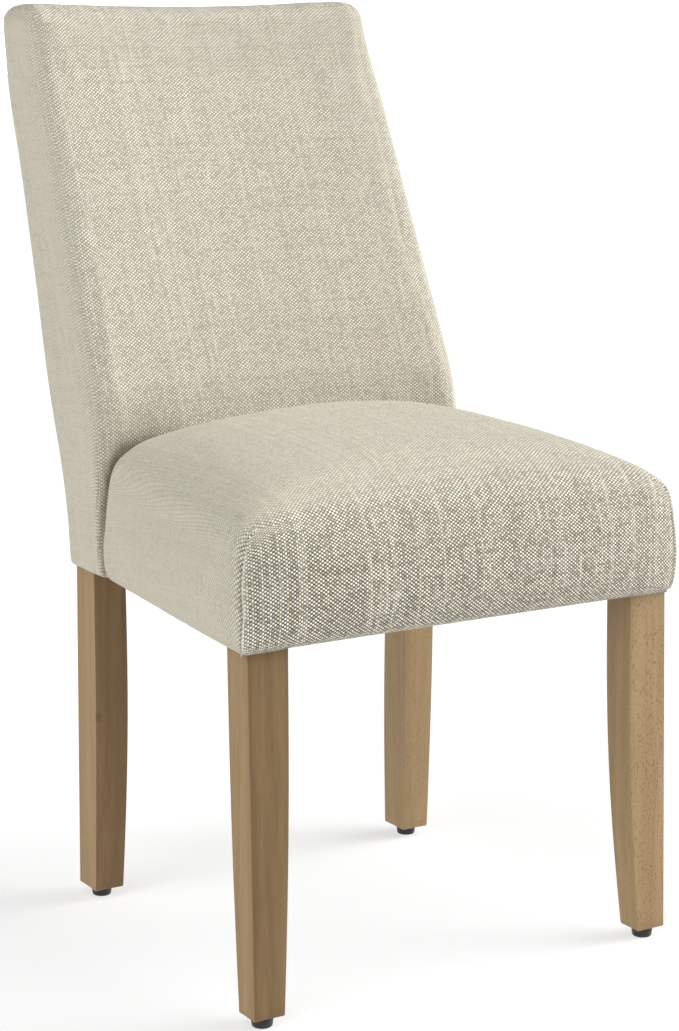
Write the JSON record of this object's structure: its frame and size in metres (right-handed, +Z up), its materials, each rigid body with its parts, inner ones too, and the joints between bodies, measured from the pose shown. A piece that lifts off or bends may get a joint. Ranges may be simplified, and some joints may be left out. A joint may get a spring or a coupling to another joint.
{
  "type": "upholstered parsons dining chair",
  "caption": "Armless upholstered dining chair with a leaning padded back, a domed padded seat and tapered wooden legs on nail-on glides.",
  "frame": {"origin": "on the floor, under the middle of the chair's bounding box", "axes": "+Z up, +X to the right when looking from the front towards the back, -Y the way the sitter faces"},
  "size_m": [0.4892, 0.5788, 0.8978],
  "materials": {
    "upholstery": "matte",
    "leg_wood": "satin",
    "frame_wood": "matte",
    "plywood": "matte",
    "hardboard": "matte",
    "foam": "matte",
    "wadding": "matte",
    "dust_cloth": "matte",
    "glide_plastic": "satin",
    "steel": "satin"
  },
  "bodies": {
    "root": {"leg_front_left": "leg_wood", "leg_front_right": "leg_wood", "leg_rear_left": "leg_wood", "leg_rear_right": "leg_wood", "glide_front_left": "glide_plastic", "glide_front_right": "glide_plastic", "glide_rear_left": "glide_plastic", "glide_rear_right": "glide_plastic", "glide_nail_front_left": "steel", "glide_nail_front_right": "steel", "glide_nail_rear_left": "steel", "glide_nail_rear_right": "steel", "seat_rail_front": "frame_wood", "seat_rail_left": "frame_wood", "seat_rail_right": "frame_wood", "seat_rail_rear": "frame_wood", "corner_block_front_left": "frame_wood", "corner_block_front_right": "frame_wood", "corner_block_rear_left": "frame_wood", "corner_block_rear_right": "frame_wood", "hanger_bolt_left": "steel", "hanger_bolt_right": "steel", "hanger_washer_left": "steel", "hanger_washer_right": "steel", "hanger_nut_left": "steel", "hanger_nut_right": "steel", "block_screw_front_left_a": "steel", "block_screw_front_left_b": "steel", "block_screw_front_right_a": "steel", "block_screw_front_right_b": "steel", "block_screw_rear_left_a": "steel", "block_screw_rear_left_b": "steel", "block_screw_rear_right_a": "steel", "block_screw_rear_right_b": "steel", "seat_deck": "plywood", "deck_screw_front_left": "steel", "deck_screw_front_right": "steel", "deck_screw_rear_left": "steel", "deck_screw_rear_right": "steel", "dust_sheet": "dust_cloth", "seat_foam": "foam", "seat_edge_wadding": "wadding", "seat_cover": "upholstery", "seat_bolt_left_low": "steel", "seat_bolt_left_high": "steel", "seat_bolt_right_low": "steel", "seat_bolt_right_high": "steel", "seat_bolt_washer_left_low": "steel", "seat_bolt_washer_left_high": "steel", "seat_bolt_washer_right_low": "steel", "seat_bolt_washer_right_high": "steel", "back_rail_joint": "frame_wood", "back_rail_lumbar": "frame_wood", "back_rail_top": "frame_wood", "back_panel": "plywood", "rear_board": "hardboard", "back_foam": "foam", "back_edge_wadding": "wadding", "back_cover_inside": "upholstery", "back_cover_outside": "upholstery"}
  },
  "joints": []
}
